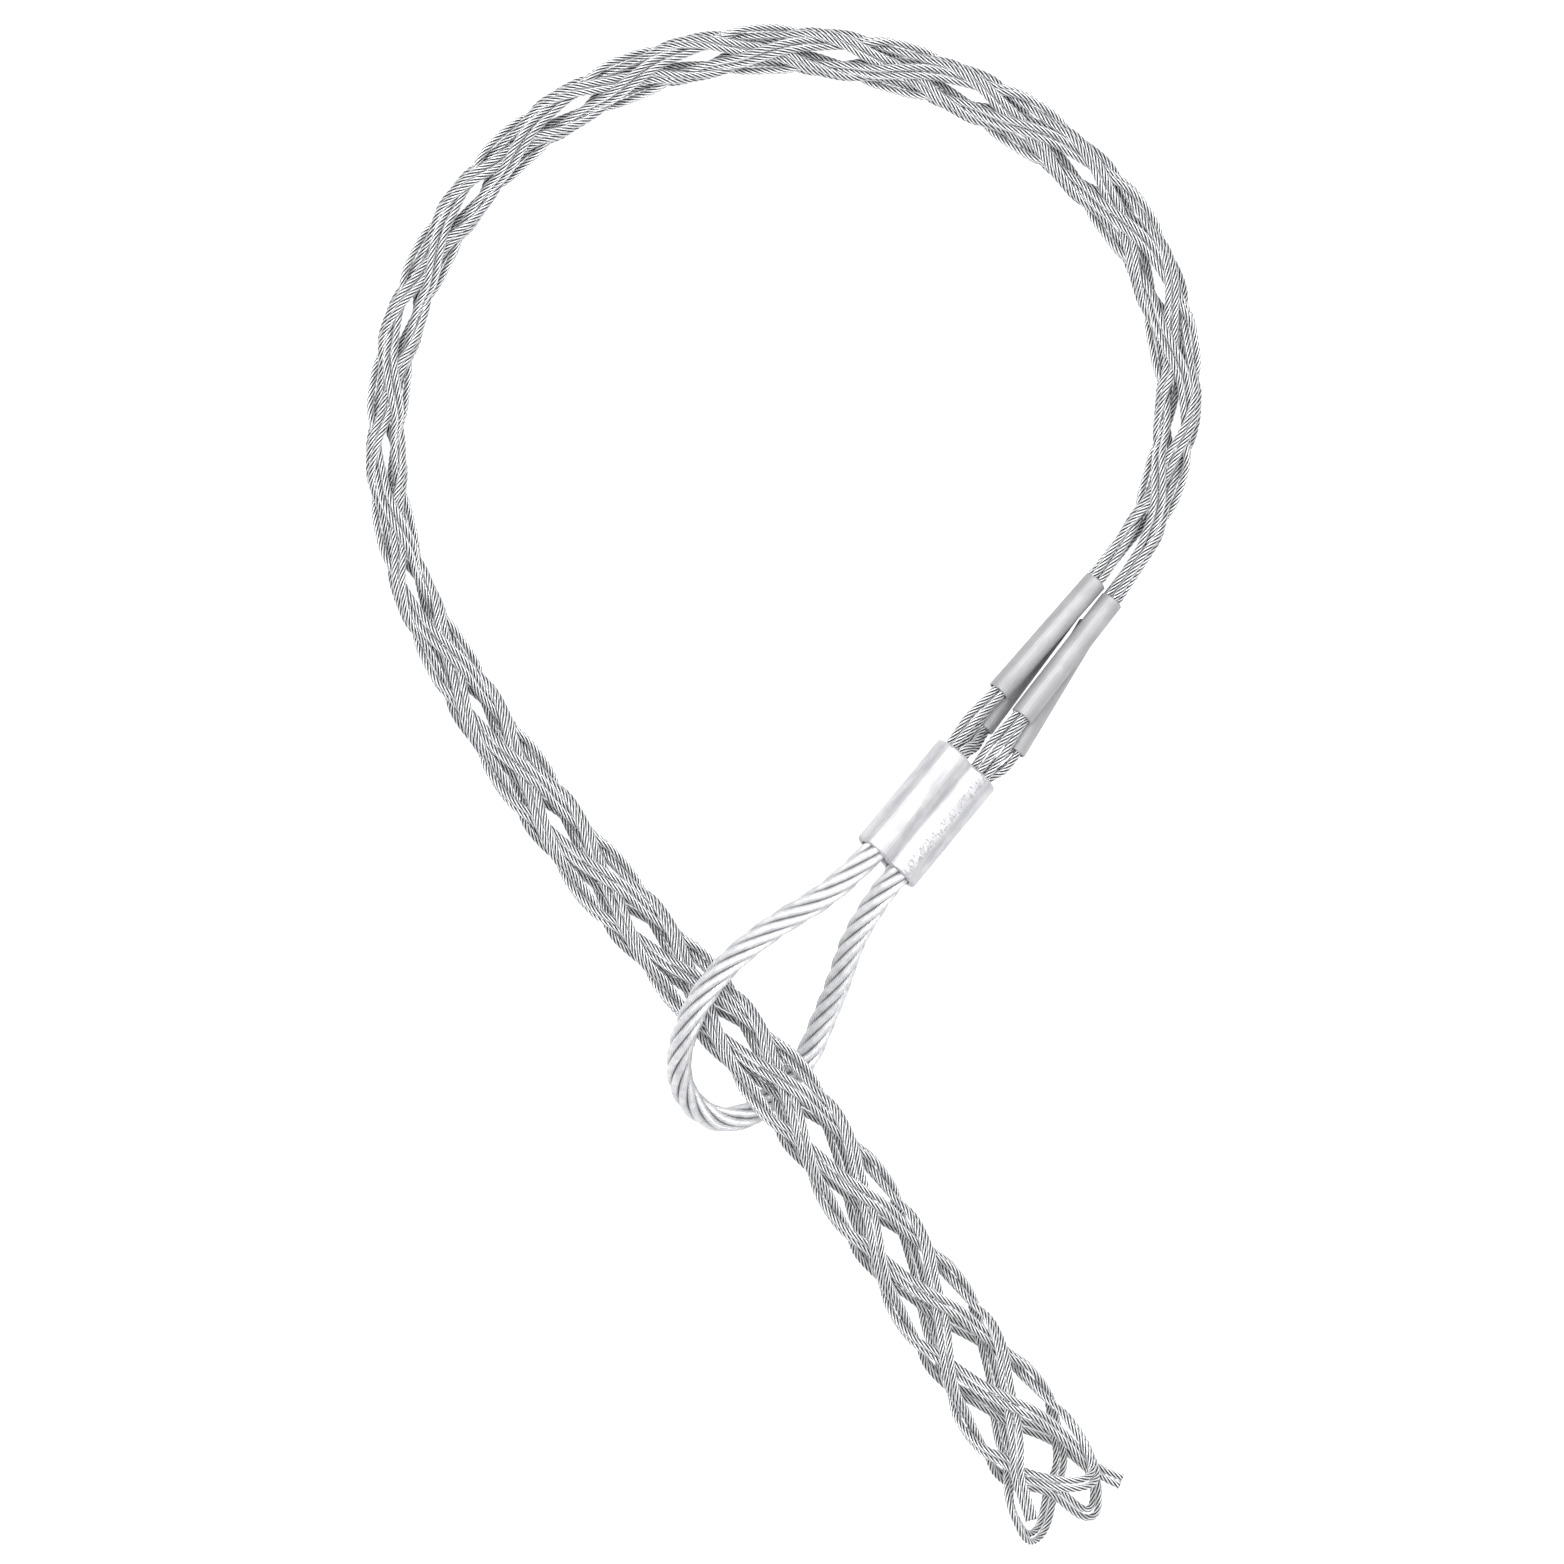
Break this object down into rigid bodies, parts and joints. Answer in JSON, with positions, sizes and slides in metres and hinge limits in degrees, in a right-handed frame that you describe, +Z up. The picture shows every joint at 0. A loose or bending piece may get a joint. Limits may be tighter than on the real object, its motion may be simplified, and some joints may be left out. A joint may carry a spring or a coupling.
{
  "type": "cable pulling grip",
  "caption": "Woven wire-rope cable sock coiled in an open loop, gathered by thin sleeves and a double-barrel ferrule, with a rope pulling eye round the sock.",
  "frame": {"origin": "centre of the outline box, on the ground it lies on", "axes": "+Y along the longer side of the coiled outline, from the open mouth towards the far bend; +Z up from the ground"},
  "size_m": [0.1668, 0.3034, 0.0276],
  "materials": {
    "mesh_wire": "galvanised stranded steel rope, bright with dark hollows between the strands",
    "eye_rope": "galvanised stranded steel rope",
    "ferrule": "satin, with fine scratches along one barrel",
    "sleeves": "smooth and matt, light grey"
  },
  "bodies": {
    "root": {"main_ferrule": "ferrule", "eye_rope": "eye_rope", "sleeve_upper_left": "sleeves", "sleeve_upper_right": "sleeves", "sleeve_lower_right": "sleeves", "sleeve_lower_left": "sleeves", "mesh_wire_top_outer": "mesh_wire", "mesh_wire_top_inner": "mesh_wire", "mesh_wire_low_outer": "mesh_wire", "mesh_wire_low_inner": "mesh_wire", "mesh_wire_side_outer": "mesh_wire", "mesh_wire_side_inner": "mesh_wire", "mesh_wire_cut_side_1": "mesh_wire", "mesh_wire_cut_side_2": "mesh_wire", "mesh_wire_cut_top_1": "mesh_wire", "mesh_wire_cut_top_2": "mesh_wire"}
  },
  "joints": []
}
